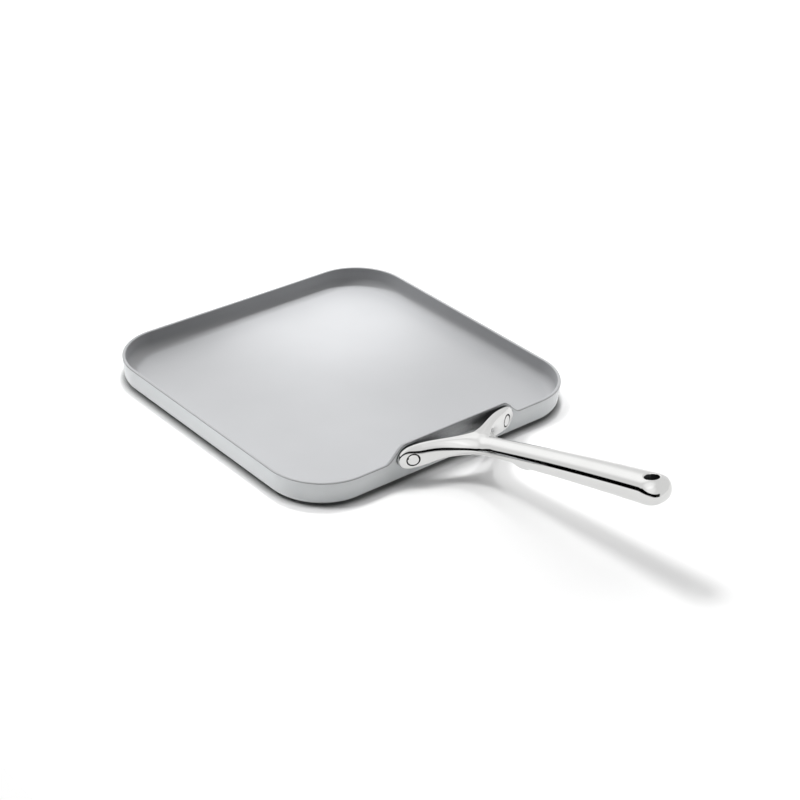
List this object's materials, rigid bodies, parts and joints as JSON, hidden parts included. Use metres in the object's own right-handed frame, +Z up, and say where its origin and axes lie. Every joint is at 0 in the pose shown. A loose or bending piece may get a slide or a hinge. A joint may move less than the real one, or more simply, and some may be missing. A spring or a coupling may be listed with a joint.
{
  "type": "square griddle pan",
  "caption": "Square flat griddle pan with low walls, round corners and a pale grey ceramic coating, and a forked polished steel handle riveted to a raised wall tab.",
  "frame": {"origin": "centre of the square base, on the surface the pan stands on", "axes": "+X from the middle of the pan out along the handle, +Z up out of the pan, +Y to the right of a cook who holds the handle and faces the pan"},
  "size_m": [0.4919, 0.28, 0.0878],
  "materials": {
    "ceramic_coated_aluminium": "satin ceramic coating",
    "polished_steel": "polished",
    "mill_steel": "rolled"
  },
  "bodies": {
    "root": {"pan_body": "ceramic_coated_aluminium", "induction_plate": "mill_steel", "handle": "polished_steel", "rivet_left": "polished_steel", "rivet_right": "polished_steel"}
  },
  "joints": []
}
